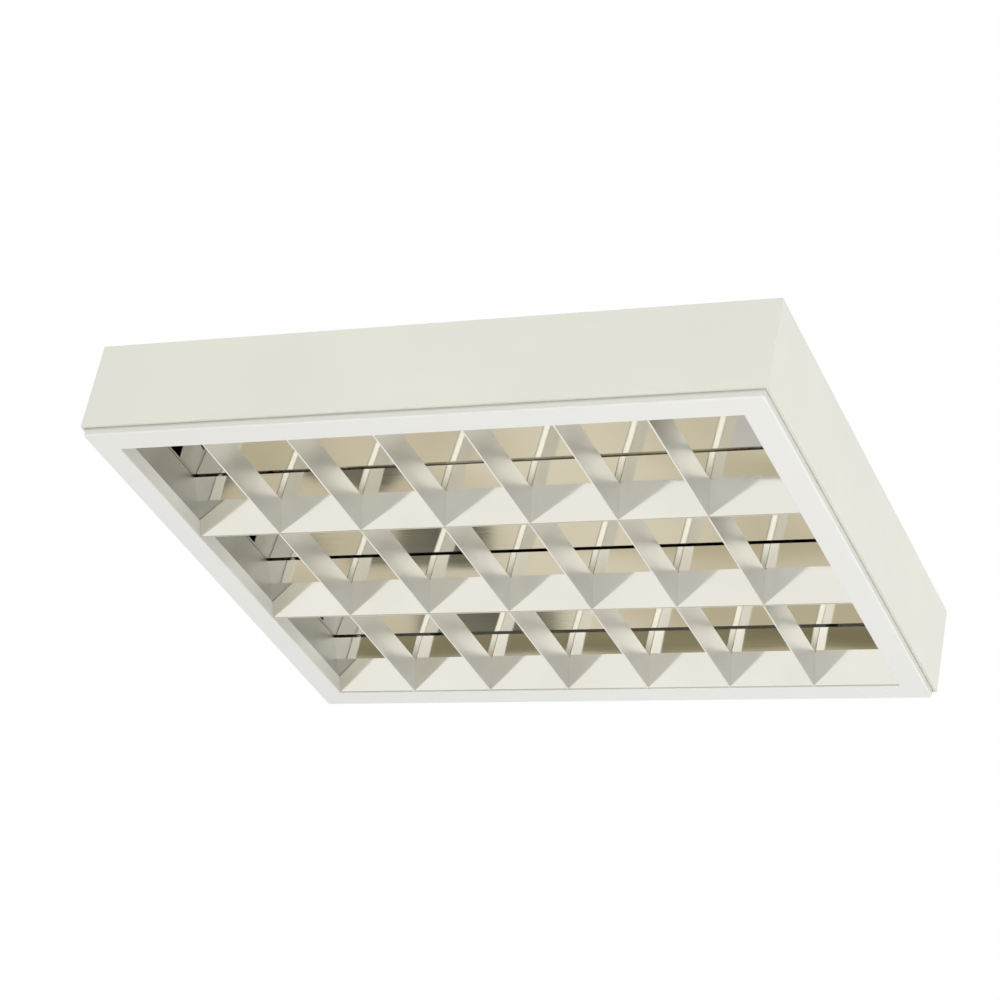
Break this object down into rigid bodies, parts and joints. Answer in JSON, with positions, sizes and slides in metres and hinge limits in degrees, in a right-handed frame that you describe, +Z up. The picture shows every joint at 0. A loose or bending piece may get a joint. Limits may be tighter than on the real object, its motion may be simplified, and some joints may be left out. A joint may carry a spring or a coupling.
{
  "type": "louvre ceiling luminaire",
  "caption": "Shallow rectangular box luminaire for fluorescent tubes with a hinged mirror louvre of V-shaped ridges and cross blades in a white frame.",
  "frame": {"origin": "centre of the housing's ceiling face", "axes": "+X along the tubes, +Y towards the hinged side of the louvre door, +Z up towards the ceiling"},
  "size_m": [0.6252, 0.5092, 0.0915],
  "materials": {
    "white_enamel": "satin powder coat",
    "mirror_aluminium": "semi-specular anodised",
    "zinc_steel": "zinc-plated sheet",
    "spring_steel": "blued spring steel",
    "white_plastic": "moulded",
    "grey_plastic": "moulded",
    "phosphor_glass": "opaque white coated glass",
    "clear_glass": "clear",
    "cap_aluminium": "satin",
    "brass": "plain",
    "wire_insulation": "plain",
    "rubber": "matte",
    "gear_enamel": "painted"
  },
  "bodies": {
    "housing": {"cable_grommet": "rubber", "earth_stud": "brass", "end_reflector_left": "zinc_steel", "end_reflector_right": "zinc_steel", "gear_case": "gear_enamel", "gear_plugs": "grey_plastic", "gear_screws": "zinc_steel", "hinge_leaves_fixed": "zinc_steel", "holder_bracket_left": "zinc_steel", "holder_bracket_right": "zinc_steel", "housing_body": "white_enamel", "housing_end_left": "white_enamel", "housing_end_right": "white_enamel", "lamp_contacts": "brass", "lamp_wires_left": "wire_insulation", "lamp_wires_right": "wire_insulation", "lampholder_left_1": "white_plastic", "lampholder_left_2": "white_plastic", "lampholder_left_3": "white_plastic", "lampholder_right_1": "white_plastic", "lampholder_right_2": "white_plastic", "lampholder_right_3": "white_plastic", "mains_wires": "wire_insulation", "reflector_hangers": "zinc_steel", "reflector_screws": "zinc_steel", "side_hangers": "zinc_steel", "spring_clips": "spring_steel", "terminal_block": "white_plastic", "terminal_screws": "zinc_steel", "upper_reflector_1": "mirror_aluminium", "upper_reflector_2": "mirror_aluminium", "upper_reflector_3": "mirror_aluminium"},
    "door": {"cross_blades_1": "mirror_aluminium", "cross_blades_2": "mirror_aluminium", "cross_blades_3": "mirror_aluminium", "door_frame": "white_enamel", "hinge_leaves_moving": "zinc_steel", "hinge_pins": "zinc_steel", "louvre_end_left": "mirror_aluminium", "louvre_end_right": "mirror_aluminium", "louvre_ridge_1": "mirror_aluminium", "louvre_ridge_2": "mirror_aluminium", "louvre_rivets": "cap_aluminium", "louvre_side_far": "mirror_aluminium", "louvre_side_near": "mirror_aluminium"},
    "lamp_1": {"lamp_glass_1": "phosphor_glass", "lamp_caps_1": "cap_aluminium", "lamp_pins_1": "brass", "lamp_rotors_1": "grey_plastic", "lamp_cathodes_1": "clear_glass"},
    "lamp_2": {"lamp_glass_2": "phosphor_glass", "lamp_caps_2": "cap_aluminium", "lamp_pins_2": "brass", "lamp_rotors_2": "grey_plastic", "lamp_cathodes_2": "clear_glass"},
    "lamp_3": {"lamp_glass_3": "phosphor_glass", "lamp_caps_3": "cap_aluminium", "lamp_pins_3": "brass", "lamp_rotors_3": "grey_plastic", "lamp_cathodes_3": "clear_glass"}
  },
  "joints": [
    {"name": "door_hinge", "type": "hinge", "parent": "housing", "child": "door", "pos_m": [0, 0.24655, -0.087], "axis": [1, 0, 0], "range_deg": [0, 90]},
    {"name": "lamp_turn_1", "type": "hinge", "parent": "housing", "child": "lamp_1", "pos_m": [0, -0.1517, -0.024], "axis": [1, 0, 0], "range_deg": [0, 90]},
    {"name": "lamp_turn_2", "type": "hinge", "parent": "housing", "child": "lamp_2", "pos_m": [0, 0, -0.024], "axis": [1, 0, 0], "range_deg": [0, 90]},
    {"name": "lamp_turn_3", "type": "hinge", "parent": "housing", "child": "lamp_3", "pos_m": [0, 0.1517, -0.024], "axis": [1, 0, 0], "range_deg": [0, 90]}
  ]
}
